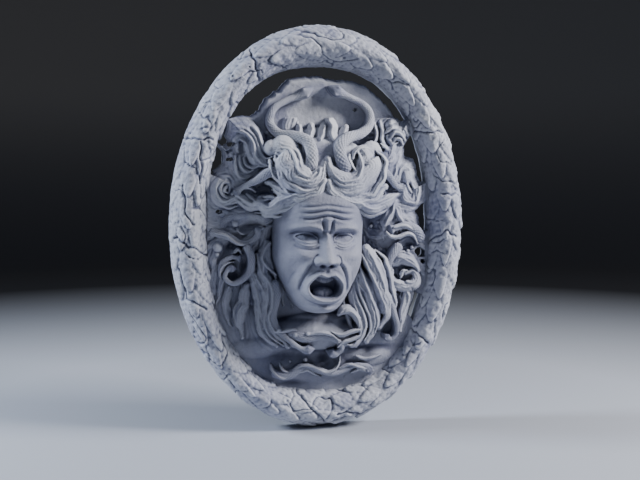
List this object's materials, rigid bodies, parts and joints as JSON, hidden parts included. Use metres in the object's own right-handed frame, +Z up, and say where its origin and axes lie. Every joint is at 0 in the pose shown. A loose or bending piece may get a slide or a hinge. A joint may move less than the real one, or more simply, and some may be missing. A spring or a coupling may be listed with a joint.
{
  "type": "gorgon mask relief",
  "caption": "Oval stone wall plaque: a gorgon's head with open mouth and snake hair in high relief, inside a worn laurel wreath, pierced at its edges",
  "frame": {"origin": "centre of the oval on the flat back that goes against the wall", "axes": "+Y points back into the wall, the face looks along -Y; +Z up, along the long side; +X to the viewer's right"},
  "size_m": [0.504, 0.154, 0.68],
  "materials": {
    "stone": "weathered matte carved stone, darker in its hollows"
  },
  "bodies": {
    "root": {"gorgon_relief": "stone"}
  },
  "joints": []
}
